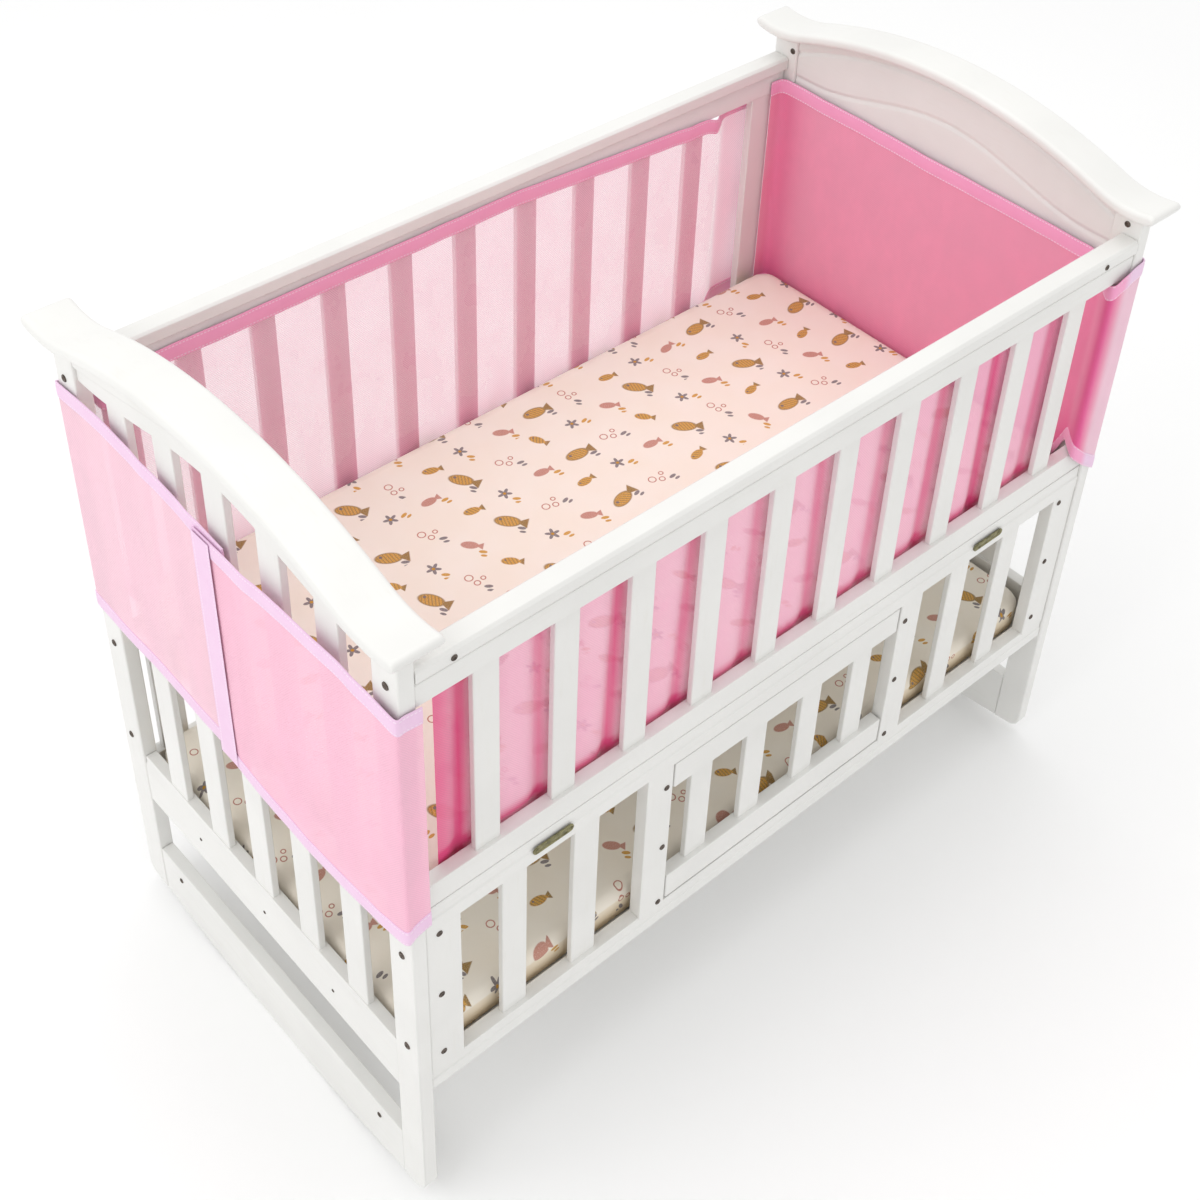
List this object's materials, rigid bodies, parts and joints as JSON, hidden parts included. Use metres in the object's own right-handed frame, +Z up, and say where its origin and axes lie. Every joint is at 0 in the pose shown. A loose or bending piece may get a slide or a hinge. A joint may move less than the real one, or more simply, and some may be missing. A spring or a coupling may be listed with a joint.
{
  "type": "crib bumper on a crib",
  "caption": "Sheer pink mesh bumper with bound edges, woven in and out round the slats and posts of a rocking wooden crib with two mattresses.",
  "frame": {"origin": "on the floor under the middle of the crib", "axes": "+X towards the head end, +Y towards the back side, +Z up"},
  "size_m": [1.077, 0.606, 0.919],
  "materials": {
    "painted_wood": "satin white paint",
    "printed_sheet": "printed cotton sheet over foam",
    "fitting": "dull, browned",
    "mesh_cloth": "sheer double mesh",
    "binding_cloth": "soft plain weave, stitched"
  },
  "bodies": {
    "root": {"post_foot_front": "painted_wood", "post_foot_back": "painted_wood", "post_head_front": "painted_wood", "post_head_back": "painted_wood", "foot_rocker": "painted_wood", "head_rocker": "painted_wood", "foot_cap": "painted_wood", "head_cap": "painted_wood", "foot_slats": "painted_wood", "head_slats": "painted_wood", "head_board": "painted_wood", "front_rail_frame": "painted_wood", "front_lower_frame": "painted_wood", "front_gate": "painted_wood", "back_rail_frame": "painted_wood", "deck": "painted_wood", "lower_deck": "painted_wood", "mattress": "printed_sheet", "lower_mattress": "printed_sheet", "slot_plate_left": "fitting", "slot_plate_right": "fitting", "foot_far_mesh": "mesh_cloth", "foot_near_mesh": "mesh_cloth", "back_mesh": "mesh_cloth", "head_mesh": "mesh_cloth", "front_mesh": "mesh_cloth", "foot_far_top_binding": "binding_cloth", "foot_far_bottom_binding": "binding_cloth", "foot_near_top_binding": "binding_cloth", "foot_near_bottom_binding": "binding_cloth", "back_top_binding": "binding_cloth", "back_bottom_binding": "binding_cloth", "head_top_binding": "binding_cloth", "head_bottom_binding": "binding_cloth", "front_top_binding": "binding_cloth", "front_bottom_binding": "binding_cloth", "foot_closing_strip": "binding_cloth"}
  },
  "joints": []
}
